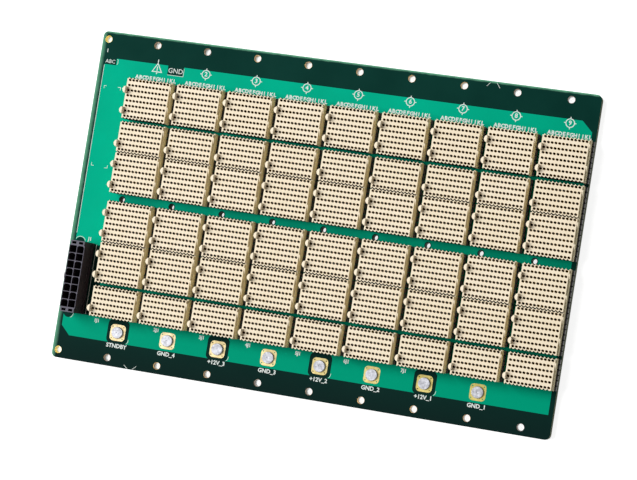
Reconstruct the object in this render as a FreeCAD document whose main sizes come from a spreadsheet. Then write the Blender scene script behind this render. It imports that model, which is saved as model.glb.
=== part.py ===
import FreeCAD, Part
import os
import Sketcher

# Drive backplane board: a bare 3U backplane with nine slots, seen from its connector side.
# The board lies on its rear face. +X runs along the row of slots, from slot 1 to slot 9,
# +Y runs up the 3U height and +Z comes out of the connector side. The origin is at the
# centre of the board's rear face. All sizes are in millimetres.

doc = FreeCAD.newDocument("drive_backplane_board")

DRIVING_SIZES = [
    # bare board
    ("board_width", 196.5),
    ("board_height", 128.7),
    ("board_thickness", 4.0),
    ("board_corner_radius", 2.0),
    # fixing holes: two rows of ten, 122.5 apart as on every 3U board, and nine half way up
    ("slot_pitch", 20.32),
    ("slot_count", 9),
    ("fixing_row_inset", 3.1),
    ("first_line_inset", 2.4),
    ("fixing_bore", 2.8),
    ("centre_bore", 2.0),
    ("centre_bore_from_line", 16.02),
    # receptacles: twelve contacts in each wafer, eight or six wafers in each module
    ("contact_pitch", 1.4),
    ("contact_count", 12),
    ("wafer_pitch", 2.0),
    ("long_module_wafers", 8),
    ("short_module_wafers", 6),
    ("slot_centre_from_line", 21.64),
    ("stack_centre_height", 0.32),
    ("stack_centre_gap", 3.0),
    ("stack_outer_gap", 1.0),
    ("module_end_clearance", 0.04),
    ("wafer_stack_height", 2.4),
    ("wafer_side_inset", 0.35),
    ("wafer_ledge", 0.8),
    ("wafer_end_inset", 0.15),
    ("housing_height", 4.9),
    ("housing_left_margin", 1.15),
    ("housing_right_margin", 0.95),
    ("skirt_reach", 0.42),
    ("skirt_drop", 1.2),
    ("guide_post_width", 2.55),
    ("guide_post_reach", 0.74),
    ("guide_post_rise", 2.1),
    ("guide_post_bevel", 0.45),
    ("ramp_width", 2.5),
    # power header: two rows of eight keyed cells
    ("header_from_line", 4.5),
    ("header_above_foot", 13.83),
    ("header_pitch", 3.0),
    ("header_columns", 8),
    ("header_height", 9.9),
    ("cell_size", 2.5),
    ("cell_key_chamfer", 0.7),
    ("cell_floor", 2.2),
    ("shroud_wall", 0.35),
    ("header_foot_width", 7.0),
    ("header_foot_height", 1.2),
    ("header_length", 27.7),
    ("ear_width", 5.6),
    ("ear_slot_length", 0.95),
    ("ear_slot_width", 1.7),
    ("ear_slot_depth", 5.0),
    ("wall_window", 0.7),
    ("wall_window_height", 2.9),
    ("latch_reach", 1.3),
    ("latch_width", 2.2),
    ("latch_drop", 1.0),
    ("latch_length", 2.6),
    ("latch_lip", 0.39),
    ("latch_slope", 1.56),
    ("peg_size", 1.6),
    ("peg_length", 3.0),
    ("peg_offset", 1.9),
    ("peg_from_end", 0.95),
    ("peg_clearance", 0.1),
    # power header pins
    ("pin_size", 0.64),
    ("pin_clearance", 0.03),
    ("pin_reach", 5.5),
    ("pin_tail", 3.5),
    ("pin_tip_chamfer", 0.2),
    # power terminals: pressed in from the front, threaded from the rear
    ("terminal_count", 8),
    ("terminal_from_line", 22.9),
    ("terminal_below_foot", 4.97),
    ("terminal_diameter", 4.5),
    ("terminal_clearance", 0.03),
    ("terminal_rise", 1.0),
    ("terminal_thread_bore", 2.5),
    ("terminal_thread_depth", 3.8),
]

sheet = doc.addObject("Spreadsheet::Sheet", "Sizes")
for row, (alias, value) in enumerate(DRIVING_SIZES, start=1):
    sheet.set("A%d" % row, alias)
    sheet.set("B%d" % row, str(value))
    sheet.setAlias("B%d" % row, alias)
doc.recompute()


def size(alias):
    """One value of the sheet, for counts and edge searches in this file's own code."""
    return float(sheet.get(alias))


# Places that several pieces share, as expressions in the sheet's cells.
FIRST_LINE_X = "(-Sizes.board_width / 2 + Sizes.first_line_inset)"
FIXING_ROW_Y = "(Sizes.board_height / 2 - Sizes.fixing_row_inset)"
GRID_HALF = "((Sizes.contact_count - 1) * Sizes.contact_pitch / 2)"
LEFT_WALL_X = "(-%s - Sizes.housing_left_margin)" % GRID_HALF
RIGHT_WALL_X = "(%s + Sizes.housing_right_margin)" % GRID_HALF
SKIRT_X = "(%s + Sizes.skirt_reach)" % RIGHT_WALL_X
LONG_MODULE = "(Sizes.long_module_wafers * Sizes.wafer_pitch)"
SHORT_MODULE = "(Sizes.short_module_wafers * Sizes.wafer_pitch)"
HALF_GAP = "Sizes.stack_centre_gap / 2"
STACK_FOOT_Y = (
    "(Sizes.stack_centre_height - %s - 2 * %s - Sizes.stack_outer_gap - %s)"
    % (HALF_GAP, LONG_MODULE, SHORT_MODULE)
)
HEADER_X = "(%s + Sizes.header_from_line)" % FIRST_LINE_X
HEADER_Y = "(%s + Sizes.header_above_foot)" % STACK_FOOT_Y
TERMINAL_X = "(%s + Sizes.terminal_from_line)" % FIRST_LINE_X
TERMINAL_Y = "(%s - Sizes.terminal_below_foot)" % STACK_FOOT_Y
SHROUD_WIDTH = "(Sizes.header_pitch + Sizes.cell_size + 2 * Sizes.shroud_wall)"
SHROUD_LENGTH = (
    "((Sizes.header_columns - 1) * Sizes.header_pitch + Sizes.cell_size + 2 * Sizes.shroud_wall)"
)
PEG_Y = "(Sizes.header_length / 2 - Sizes.peg_from_end)"
FIRST_PIN_Y = "(-(Sizes.header_columns - 1) * Sizes.header_pitch / 2)"
PIN_PASSAGE = "(Sizes.pin_size + 2 * Sizes.pin_clearance)"

# Centre of each module above the middle of the stack, and whether it is a long one.
MODULES = {
    "p1": ("-%s - 2 * %s - Sizes.stack_outer_gap - %s / 2"
           % (HALF_GAP, LONG_MODULE, SHORT_MODULE), "short"),
    "p2": ("-%s - 1.5 * %s" % (HALF_GAP, LONG_MODULE), "long"),
    "p3": ("-%s - 0.5 * %s" % (HALF_GAP, LONG_MODULE), "long"),
    "p4": ("%s + 0.5 * %s" % (HALF_GAP, LONG_MODULE), "long"),
    "p5": ("%s + %s + %s / 2" % (HALF_GAP, LONG_MODULE, SHORT_MODULE), "short"),
    "p6": ("%s + 1.5 * %s + %s + Sizes.stack_outer_gap"
           % (HALF_GAP, LONG_MODULE, SHORT_MODULE), "long"),
}


# ---------------------------------------------------------------- sketch and feature helpers

def new_body(label, many_solids=False):
    """A body whose label names its file."""
    body = doc.addObject("PartDesign::Body", label)
    body.Label = label
    body.AllowCompound = many_solids
    return body


def new_sketch(body, role, name, offset="0"):
    """A sketch on one of the body's own origin planes, lifted off it by an expression."""
    sketch = body.newObject("Sketcher::SketchObject", name)
    plane = [p for p in body.Origin.OriginFeatures if p.Role == role][0]
    sketch.AttachmentSupport = [(plane, "")]
    sketch.MapMode = "FlatFace"
    sketch.setExpression("AttachmentOffset.Base.z", offset)
    return sketch


def dimension(sketch, kind, where, expression):
    """A driving dimension bound to an expression."""
    index = sketch.addConstraint(Sketcher.Constraint(kind, *where, 1.0))
    sketch.setExpression("Constraints[%d]" % index, expression)


def place_point(sketch, geometry, point, x, y):
    """Holds one point of the sketch at (x, y) from its origin."""
    dimension(sketch, "DistanceX", (-1, 1, geometry, point), x)
    dimension(sketch, "DistanceY", (-1, 1, geometry, point), y)


def add_polygon(sketch, corners):
    """A closed outline through corners, each an (x, y) pair of expressions."""
    count = len(corners)
    first = sketch.GeometryCount
    for step in range(count):
        start = FreeCAD.Vector(step, step * step, 0)
        end = FreeCAD.Vector(step + 1, (step + 1) ** 2, 0)
        sketch.addGeometry(Part.LineSegment(start, end), False)
    for step, (x, y) in enumerate(corners):
        before = first + (step - 1) % count
        sketch.addConstraint(Sketcher.Constraint("Coincident", before, 2, first + step, 1))
        place_point(sketch, first + step, 1, x, y)


def add_rectangle(sketch, x_low, y_low, x_high, y_high):
    """An upright rectangle between two corners."""
    add_polygon(sketch, [(x_low, y_low), (x_high, y_low), (x_high, y_high), (x_low, y_high)])


def add_square(sketch, x, y, side):
    """An upright square about (x, y)."""
    add_rectangle(sketch, "%s - %s / 2" % (x, side), "%s - %s / 2" % (y, side),
                  "%s + %s / 2" % (x, side), "%s + %s / 2" % (y, side))


def add_circle(sketch, x, y, diameter):
    """A circle about (x, y)."""
    index = sketch.GeometryCount
    circle = Part.Circle(FreeCAD.Vector(0, 0, 0), FreeCAD.Vector(0, 0, 1), 1)
    sketch.addGeometry(circle, False)
    place_point(sketch, index, 3, x, y)
    dimension(sketch, "Diameter", (index,), diameter)


def pad(body, sketch, length, name, down=False):
    """Material from the sketch upwards, or downwards."""
    feature = body.newObject("PartDesign::Pad", name)
    feature.Profile = sketch
    feature.Reversed = down
    feature.setExpression("Length", length)
    doc.recompute()
    return feature


def pocket(body, sketch, name, depth=None, upwards=False):
    """A cut from the sketch, through all or to a depth. It must take material away."""
    before = body.Shape.Volume
    feature = body.newObject("PartDesign::Pocket", name)
    feature.Profile = sketch
    feature.Reversed = upwards
    if depth is None:
        feature.Type = "ThroughAll"
    else:
        feature.setExpression("Length", depth)
    doc.recompute()
    if body.Shape.Volume >= before:
        raise RuntimeError(name + " cuts nothing")
    return feature


def repeat(body, feature, sketch, axis, pitch, count, name):
    """Copies of a feature in a row along the sketch's own H_Axis or V_Axis."""
    row = body.newObject("PartDesign::LinearPattern", name)
    row.Originals = [feature]
    row.Direction = (sketch, [axis])
    row.setExpression("Length", "%s * (%s - 1)" % (pitch, count))
    row.setExpression("Occurrences", count)
    body.Tip = row
    doc.recompute()
    return row


def edges_at(shape, height, picks=lambda edge: True):
    """Names of the edges that lie flat at one height above the body's base."""
    names = []
    for number, edge in enumerate(shape.Edges, start=1):
        box = edge.BoundBox
        if abs(box.ZMin - height) < 1e-5 and abs(box.ZMax - height) < 1e-5 and picks(edge):
            names.append("Edge%d" % number)
    return names


def seat(body, x, y, z):
    """The body's place on the board, bound to the sheet."""
    body.setExpression("Placement.Base.x", x)
    body.setExpression("Placement.Base.y", y)
    body.setExpression("Placement.Base.z", z)


# ---------------------------------------------------------------- bare board

def make_board():
    """The drilled laminate, with its bores for screws, terminals, header tails and pegs."""
    body = new_body("backplane_board")
    outline = new_sketch(body, "XY_Plane", "board_outline")
    add_rectangle(outline, "-Sizes.board_width / 2", "-Sizes.board_height / 2",
                  "Sizes.board_width / 2", "Sizes.board_height / 2")
    slab = pad(body, outline, "Sizes.board_thickness", "board_slab")
    uprights = ["Edge%d" % number for number, edge in enumerate(slab.Shape.Edges, start=1)
                if edge.BoundBox.ZLength > size("board_thickness") / 2]
    corners = body.newObject("PartDesign::Fillet", "board_corners")
    corners.Base = (slab, uprights)
    corners.setExpression("Radius", "Sizes.board_corner_radius")
    doc.recompute()

    fixing = new_sketch(body, "XY_Plane", "fixing_bore_pair")
    for side in ("-", ""):
        add_circle(fixing, FIRST_LINE_X, "%s%s" % (side, FIXING_ROW_Y), "Sizes.fixing_bore")
    cut = pocket(body, fixing, "fixing_bores", upwards=True)
    repeat(body, cut, fixing, "H_Axis", "Sizes.slot_pitch", "(Sizes.slot_count + 1)",
           "fixing_bore_rows")

    centre = new_sketch(body, "XY_Plane", "centre_bore_circle")
    add_circle(centre, "%s + Sizes.centre_bore_from_line" % FIRST_LINE_X, "0",
               "Sizes.centre_bore")
    cut = pocket(body, centre, "centre_bores", upwards=True)
    repeat(body, cut, centre, "H_Axis", "Sizes.slot_pitch", "Sizes.slot_count",
           "centre_bore_row")

    terminal = new_sketch(body, "XY_Plane", "terminal_bore_circle")
    add_circle(terminal, TERMINAL_X, TERMINAL_Y,
               "Sizes.terminal_diameter + 2 * Sizes.terminal_clearance")
    cut = pocket(body, terminal, "terminal_bores", upwards=True)
    repeat(body, cut, terminal, "H_Axis", "Sizes.slot_pitch", "Sizes.terminal_count",
           "terminal_bore_row")

    tails = new_sketch(body, "XY_Plane", "tail_bore_pair")
    for side in ("-", "+"):
        add_square(tails, "%s %s Sizes.header_pitch / 2" % (HEADER_X, side),
                   "%s + %s" % (HEADER_Y, FIRST_PIN_Y), PIN_PASSAGE)
    cut = pocket(body, tails, "tail_bores", upwards=True)
    repeat(body, cut, tails, "V_Axis", "Sizes.header_pitch", "Sizes.header_columns",
           "tail_bore_rows")

    pegs = new_sketch(body, "XY_Plane", "peg_bore_pair")
    for side in ("-", "+"):
        add_square(pegs, "%s - Sizes.peg_offset" % HEADER_X,
                   "%s %s %s" % (HEADER_Y, side, PEG_Y),
                   "(Sizes.peg_size + 2 * Sizes.peg_clearance)")
    pocket(body, pegs, "peg_bores", upwards=True)
    return body


# ---------------------------------------------------------------- receptacles

def row_y(wafers, row):
    """Height of one wafer row in its module, counted from the top."""
    return "((%s + 1) / 2 - %d) * Sizes.wafer_pitch" % (wafers, row)


def make_receptacle(label, wafers, post_rows, ramp_rows):
    """One moulded receptacle housing.

    Its section is a block with a stepped skirt on the right. Tapered guide posts stand on
    the left wall and rise above the front, and short ramps lie on the skirt.
    """
    body = new_body(label)
    half_length = "(%s * Sizes.wafer_pitch / 2 - Sizes.module_end_clearance)" % wafers
    skirt_top = "Sizes.housing_height - Sizes.skirt_drop"

    core = new_sketch(body, "XY_Plane", label + "_core_outline")
    add_rectangle(core, LEFT_WALL_X, "-" + half_length, RIGHT_WALL_X, half_length)
    pad(body, core, "Sizes.housing_height", label + "_core")

    skirt = new_sketch(body, "XY_Plane", label + "_skirt_outline")
    add_rectangle(skirt, "0", "-" + half_length, SKIRT_X, half_length)
    pad(body, skirt, skirt_top, label + "_skirt")

    ramps = new_sketch(body, "YZ_Plane", label + "_ramp_profile")
    for row in ramp_rows:
        low = "%s - Sizes.ramp_width / 2" % row_y(wafers, row)
        high = "%s + Sizes.ramp_width / 2" % row_y(wafers, row)
        add_polygon(ramps, [(low, skirt_top), (high, skirt_top), (high, "Sizes.housing_height")])
    pad(body, ramps, SKIRT_X, label + "_ramps")

    posts = new_sketch(body, "XY_Plane", label + "_post_outlines")
    outer = "%s - Sizes.guide_post_reach" % LEFT_WALL_X
    for row in post_rows:
        low = "%s - Sizes.guide_post_width / 2" % row_y(wafers, row)
        high = "%s + Sizes.guide_post_width / 2" % row_y(wafers, row)
        add_polygon(posts, [(LEFT_WALL_X, low), (LEFT_WALL_X, high),
                            (outer, "%s - Sizes.guide_post_bevel" % high),
                            (outer, "%s + Sizes.guide_post_bevel" % low)])
    pad(body, posts, "Sizes.housing_height + Sizes.guide_post_rise", label + "_posts")
    return body


def copy_of(master, label):
    """A further body with the same shape, which follows its master."""
    body = new_body(label)
    base = body.newObject("PartDesign::FeatureBase", label + "_base")
    base.BaseFeature = master
    body.Tip = base
    return body


def make_receptacles():
    """Six housings in each slot, from p1 at the bottom to p6 at the top."""
    housings = []
    masters = {}
    for slot in range(int(size("slot_count"))):
        for module, (centre, length) in MODULES.items():
            label = "slot%d_receptacle_%s" % (slot + 1, module)
            if length in masters:
                body = copy_of(masters[length], label)
            elif length == "long":
                body = make_receptacle(label, "Sizes.long_module_wafers", (3, 7), (2, 6))
            else:
                body = make_receptacle(label, "Sizes.short_module_wafers", (5,), (2,))
            masters.setdefault(length, body.Tip)
            seat(body, "%s + Sizes.slot_centre_from_line + %d * Sizes.slot_pitch"
                 % (FIRST_LINE_X, slot), "Sizes.stack_centre_height + (%s)" % centre,
                 "Sizes.board_thickness + Sizes.wafer_stack_height")
            housings.append(body)
    return housings


def make_wafers():
    """The black wafer stacks that carry the contacts, one below each housing.

    On the right they reach out past the housing's skirt as a low ledge.
    """
    body = new_body("contact_wafers", many_solids=True)
    stacks = new_sketch(body, "XY_Plane", "wafer_stack_outlines")
    for centre, length in MODULES.values():
        half = "(%s / 2 - Sizes.wafer_end_inset)" % (LONG_MODULE if length == "long"
                                                     else SHORT_MODULE)
        add_rectangle(stacks, "%s + Sizes.wafer_side_inset" % LEFT_WALL_X,
                      "%s - %s" % (centre, half),
                      "%s + Sizes.wafer_ledge" % SKIRT_X, "%s + %s" % (centre, half))
    block = pad(body, stacks, "Sizes.wafer_stack_height", "wafer_stacks")
    repeat(body, block, stacks, "H_Axis", "Sizes.slot_pitch", "Sizes.slot_count",
           "wafer_stack_rows")
    seat(body, "%s + Sizes.slot_centre_from_line" % FIRST_LINE_X, "Sizes.stack_centre_height",
         "Sizes.board_thickness")
    return body


# ---------------------------------------------------------------- power header

def cell_corners(x, y, keyed):
    """Outline of one cell about (x, y). A keyed cell has two bevelled corners."""
    half = "Sizes.cell_size / 2"
    bevel = "Sizes.cell_key_chamfer"
    left = "%s - %s" % (x, half)
    right = "%s + %s" % (x, half)
    low = "%s - %s" % (y, half)
    high = "%s + %s" % (y, half)
    if not keyed:
        return [(left, low), (right, low), (right, high), (left, high)]
    return [(left, low), (right, low), (right, "%s - %s" % (high, bevel)),
            ("%s - %s" % (right, bevel), high), ("%s + %s" % (left, bevel), high),
            (left, "%s - %s" % (high, bevel))]


def make_header_housing():
    """The shroud with its keyed cells, latch ramp, ears, wall windows and board pegs."""
    body = new_body("power_header_housing")

    foot = new_sketch(body, "XY_Plane", "header_foot_outline")
    add_rectangle(foot, "-Sizes.header_foot_width / 2", "-Sizes.header_length / 2",
                  "Sizes.header_foot_width / 2", "Sizes.header_length / 2")
    pad(body, foot, "Sizes.header_foot_height", "header_foot")

    shroud = new_sketch(body, "XY_Plane", "shroud_outline")
    add_rectangle(shroud, "-%s / 2" % SHROUD_WIDTH, "-%s / 2" % SHROUD_LENGTH,
                  "%s / 2" % SHROUD_WIDTH, "%s / 2" % SHROUD_LENGTH)
    pad(body, shroud, "Sizes.header_height", "shroud")

    ears = new_sketch(body, "XY_Plane", "ear_outline")
    add_rectangle(ears, "-Sizes.ear_width / 2", "-Sizes.header_length / 2",
                  "Sizes.ear_width / 2", "Sizes.header_length / 2")
    pad(body, ears, "Sizes.header_height", "ears")

    latch = new_sketch(body, "XZ_Plane", "latch_profile", "-Sizes.latch_width / 2")
    wall = "-%s / 2" % SHROUD_WIDTH
    top = "Sizes.header_height - Sizes.latch_drop"
    add_polygon(latch, [("0", top), ("%s - Sizes.latch_lip" % wall, top),
                        ("%s - Sizes.latch_reach" % wall, "%s - Sizes.latch_slope" % top),
                        ("%s - Sizes.latch_reach" % wall, "%s - Sizes.latch_length" % top),
                        ("0", "%s - Sizes.latch_length" % top)])
    pad(body, latch, "Sizes.latch_width", "latch_ramp")

    # Four cells make one block of the key pattern, and the block repeats along the header.
    cells = new_sketch(body, "XY_Plane", "cell_outlines", "Sizes.header_height")
    for column, across in enumerate(("-", "")):
        for step in range(2):
            add_polygon(cells, cell_corners("%sSizes.header_pitch / 2" % across,
                                            "%s + %d * Sizes.header_pitch" % (FIRST_PIN_Y, step),
                                            keyed=(column + step) % 2 == 0))
    cut = pocket(body, cells, "cells", depth="Sizes.header_height - Sizes.cell_floor")
    repeat(body, cut, cells, "V_Axis", "2 * Sizes.header_pitch", "Sizes.header_columns / 2",
           "cell_rows")

    passages = new_sketch(body, "XY_Plane", "pin_passage_outlines")
    for across in ("-", ""):
        add_square(passages, "%sSizes.header_pitch / 2" % across, FIRST_PIN_Y, PIN_PASSAGE)
    cut = pocket(body, passages, "pin_passages", depth="Sizes.cell_floor", upwards=True)
    repeat(body, cut, passages, "V_Axis", "Sizes.header_pitch", "Sizes.header_columns",
           "pin_passage_rows")

    slots = new_sketch(body, "XY_Plane", "ear_slot_outlines", "Sizes.header_height")
    middle = "(%s + Sizes.header_length) / 4" % SHROUD_LENGTH
    for end in ("-", ""):
        for across in ("-", ""):
            x = "%sSizes.ear_width / 4" % across
            y = "%s%s" % (end, middle)
            add_rectangle(slots, "%s - Sizes.ear_slot_width / 2" % x,
                          "%s - Sizes.ear_slot_length / 2" % y,
                          "%s + Sizes.ear_slot_width / 2" % x,
                          "%s + Sizes.ear_slot_length / 2" % y)
    pocket(body, slots, "ear_slots", depth="Sizes.ear_slot_depth")

    window = new_sketch(body, "YZ_Plane", "wall_window_outline",
                        "Sizes.header_pitch / 2 + Sizes.cell_size / 2 - Sizes.shroud_wall")
    add_square(window, FIRST_PIN_Y, "Sizes.wall_window_height", "Sizes.wall_window")
    cut = pocket(body, window, "wall_windows", depth="3 * Sizes.shroud_wall", upwards=True)
    repeat(body, cut, window, "H_Axis", "Sizes.header_pitch", "Sizes.header_columns",
           "wall_window_row")

    pegs = new_sketch(body, "XY_Plane", "peg_outlines")
    for side in ("-", ""):
        add_square(pegs, "-Sizes.peg_offset", "%s%s" % (side, PEG_Y), "Sizes.peg_size")
    pad(body, pegs, "Sizes.peg_length", "pegs", down=True)

    seat(body, HEADER_X, HEADER_Y, "Sizes.board_thickness")
    return body


def make_header_pins():
    """Sixteen square pins, which pass through the housing's floor into the board."""
    body = new_body("power_header_pins", many_solids=True)
    section = new_sketch(body, "XY_Plane", "pin_sections", "-Sizes.pin_tail")
    for across in ("-", ""):
        add_square(section, "%sSizes.header_pitch / 2" % across, FIRST_PIN_Y, "Sizes.pin_size")
    shanks = pad(body, section, "Sizes.pin_tail + Sizes.pin_reach", "pin_shanks")
    tips = body.newObject("PartDesign::Chamfer", "pin_tips")
    tips.Base = (shanks, edges_at(shanks.Shape, size("pin_reach")))
    tips.setExpression("Size", "Sizes.pin_tip_chamfer")
    doc.recompute()
    row = body.newObject("PartDesign::LinearPattern", "pin_rows")
    row.Originals = [shanks, tips]
    row.Direction = (section, ["V_Axis"])
    row.setExpression("Length", "Sizes.header_pitch * (Sizes.header_columns - 1)")
    row.setExpression("Occurrences", "Sizes.header_columns")
    body.Tip = row
    doc.recompute()
    seat(body, HEADER_X, HEADER_Y, "Sizes.board_thickness")
    return body


# ---------------------------------------------------------------- power terminals

def make_terminals():
    """Round press-in bushes, closed in front and with a blind thread from the rear."""
    body = new_body("power_terminals", many_solids=True)
    profile = new_sketch(body, "XZ_Plane", "terminal_profile")
    radius = "Sizes.terminal_diameter / 2"
    bore_radius = "Sizes.terminal_thread_bore / 2"
    top = "Sizes.board_thickness + Sizes.terminal_rise"
    add_polygon(profile, [
        ("0", "Sizes.terminal_thread_depth"), (bore_radius, "Sizes.terminal_thread_depth"),
        (bore_radius, "0"), (radius, "0"), (radius, top), ("0", top)])
    turned = body.newObject("PartDesign::Revolution", "terminal_turning")
    turned.Profile = profile
    turned.ReferenceAxis = (profile, ["V_Axis"])
    turned.Angle = 360
    doc.recompute()
    repeat(body, turned, profile, "H_Axis", "Sizes.slot_pitch", "Sizes.terminal_count",
           "terminal_row")
    seat(body, TERMINAL_X, TERMINAL_Y, "0")
    return body


pieces = [make_board()]
pieces += make_receptacles()
pieces += [make_wafers(), make_header_housing(), make_header_pins(), make_terminals()]
doc.recompute()

for item in doc.Objects:
    if "Invalid" in item.State or "Error" in item.State:
        raise RuntimeError("%s is in state %s" % (item.Label, item.State))
for piece in pieces:
    if piece.Shape.isNull() or not piece.Shape.isValid():
        raise RuntimeError(piece.Label + " has no valid shape")

os.makedirs("parts", exist_ok=True)
for piece in pieces:
    piece.Shape.exportStep("parts/" + piece.Label + ".step")
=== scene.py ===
"""Looks of the drive backplane board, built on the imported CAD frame.

Lengths are in millimetres in the CAD frame and become metres when a mesh is made. Only the
materials' own lengths are in metres, as their nodes see them.
"""
import math

import bmesh
import bpy
from mathutils import Matrix, Vector


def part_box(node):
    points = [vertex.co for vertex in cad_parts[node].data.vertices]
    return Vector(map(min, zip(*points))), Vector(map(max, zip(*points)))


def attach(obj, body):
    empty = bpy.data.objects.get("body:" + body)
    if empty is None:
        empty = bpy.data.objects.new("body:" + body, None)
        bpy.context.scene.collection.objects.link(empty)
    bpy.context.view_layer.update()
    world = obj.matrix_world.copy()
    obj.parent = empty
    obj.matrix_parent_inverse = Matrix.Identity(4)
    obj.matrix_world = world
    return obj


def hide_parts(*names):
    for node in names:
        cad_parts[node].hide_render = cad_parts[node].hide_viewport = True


MM = 0.001
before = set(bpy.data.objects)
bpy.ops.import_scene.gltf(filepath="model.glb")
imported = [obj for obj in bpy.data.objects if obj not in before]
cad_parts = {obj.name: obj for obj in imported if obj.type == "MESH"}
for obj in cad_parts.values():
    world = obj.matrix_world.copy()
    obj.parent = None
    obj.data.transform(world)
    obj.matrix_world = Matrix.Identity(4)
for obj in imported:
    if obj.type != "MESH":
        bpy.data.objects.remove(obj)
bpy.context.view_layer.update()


def corners_mm(node):
    """Lowest and highest corner of a CAD node in millimetres."""
    low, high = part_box(node)
    return Vector(low) / MM, Vector(high) / MM


# ------------------------------------------------------------------ named sizes

BOARD_LOW, BOARD_HIGH = corners_mm("backplane_board")
BOARD_REAR = BOARD_LOW.z
BOARD_FRONT = BOARD_HIGH.z

# Steps between faces that would otherwise coincide.
HAIR = 0.01
POUR_LIFT = 0.035
PAD_LIFT = 0.04
INK_LIFT = 0.06

# Slots and bores.
SLOTS = 9
SLOT_PITCH = 20.32
FIXING_ROW = 122.5
FIXING_BORE = 2.8
LINE_X = BOARD_LOW.x + 2.4
ROW_Y = -FIXING_ROW / 2
CENTRE_BORE = 2.0
CENTRE_BORE_X = LINE_X + 16.02

# Contact grid and walls of a housing, from the middle of its grid.
CONTACTS = 12
CONTACT_PITCH = 1.4
WAFER_PITCH = 2.0
GRID_HALF = (CONTACTS - 1) * CONTACT_PITCH / 2
LEFT_WALL = -GRID_HALF - 1.15
RIGHT_WALL = GRID_HALF + 0.95
SKIRT = RIGHT_WALL + 0.42
WAFER_LEDGE = 0.8
END_CLEARANCE = 0.26
SEAM_CLEARANCE = 0.04

# Heights of a housing from its foot, and depths from its front face.
HOUSING_HEIGHT = 4.9
SKIRT_HEIGHT = 3.7
BELT_DEPTH = 0.35
BROW_DEPTH = 0.08
BROW_INSET = 0.06

# Contact openings as half length and half width, and the blade of the contact in each.
OPENING_TILT = math.radians(-22)
MOUTH = (0.59, 0.465)
THROAT = (0.51, 0.39)
THROAT_DEPTH = 0.12
OPENING_DEPTH = 2.6
BLADE_LOW = (-0.34, -0.06)
BLADE_HIGH = (-0.24, 0.18)
BLADE_DEPTHS = (2.5, 1.7)

# Guide posts and ramps.
POST_RISE = 2.1
POST_OUTER = LEFT_WALL - 0.74
POST_RADIUS = 1.36
POST_FLAT = LEFT_WALL + 0.55
POST_FALL = 0.14
RAMP_HALF = 1.25

# Rows of contacts in each module, and the rows, counted from 1 at the top, that have a post or
# a ramp in a housing of that many rows.
MODULES = {"p1": 6, "p2": 8, "p3": 8, "p4": 8, "p5": 6, "p6": 8}
POST_ROWS = {8: (3, 7), 6: (5,)}
RAMP_ROWS = {8: (2, 6), 6: (2,)}

# Power header. The places of its spots without copper are given from the corner bore.
HEADER_TOP = corners_mm("power_header_housing")[1].z
PIN_ROWS = 8
PIN_PITCH = 3.0
PIN_HALF = 0.32
CELL_HALF = 1.25
HEADER_SPOTS = ((1.75, 42.6), (1.65, 14.9))
SPOT_RADIUS = 1.9

# Power terminals. The first one's place is given from the corner bore.
TERMINALS = 8
FIRST_TERMINAL = (22.9, 10.1)
TERMINAL_X = LINE_X + FIRST_TERMINAL[0]
TERMINAL_Y = ROW_Y + FIRST_TERMINAL[1]
TERMINAL_NAMES = ("STNDBY", "GND_4", "+12V_3", "GND_3", "+12V_2", "GND_2", "+12V_1", "GND_1")


def from_corner_bore(x, y):
    """A point given from the lower left fixing bore, in the CAD frame."""
    return Vector((LINE_X + x, ROW_Y + y))


def housing_node(slot, module):
    """The CAD name of one housing."""
    return "slot%d_receptacle_%s" % (slot, module)


def housing_middle(slot, module):
    """Middle of a housing's contact grid, at its foot."""
    low, high = corners_mm(housing_node(slot, module))
    return low.x - POST_OUTER, (low.y + high.y) / 2, low.z


def column_x(column):
    """Middle of a column of contacts, counted from 0 at the left of its housing."""
    return -GRID_HALF + column * CONTACT_PITCH


def row_y(rows, row):
    """Middle of a row of contacts, counted from 0 at the top of its housing."""
    return ((rows - 1) / 2 - row) * WAFER_PITCH


# ------------------------------------------------------------------ camera

def add_camera():
    """The catalogue view: almost straight down on the connector side, a little from the right."""
    lens = bpy.data.cameras.new("catalogue_camera")
    lens.lens = 123.4
    lens.sensor_width = 36
    lens.clip_start = 0.01
    camera = bpy.data.objects.new("catalogue_camera", lens)
    bpy.context.scene.collection.objects.link(camera)
    eye = Vector((200.39, -33.23, 805.75)) * MM
    aim = Vector((0.15, -4.13, 4.0)) * MM
    roll = math.radians(9.088)
    look = (aim - eye).normalized()
    level = look.cross(Vector((0, 1, 0))).normalized()
    rise = level.cross(look)
    right = math.cos(roll) * level + math.sin(roll) * rise
    up = right.cross(look)
    turn = Matrix((right, up, -look)).transposed()
    camera.matrix_world = Matrix.Translation(eye) @ turn.to_4x4()
    bpy.context.scene.camera = camera


add_camera()


# ------------------------------------------------------------------ materials

def linear(*channels):
    """Display colour channels from 0 to 255 as scene values."""
    values = []
    for channel in channels:
        part = channel / 255
        values.append(part / 12.92 if part <= 0.04045 else ((part + 0.055) / 1.055) ** 2.4)
    return (*values, 1.0)


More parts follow.
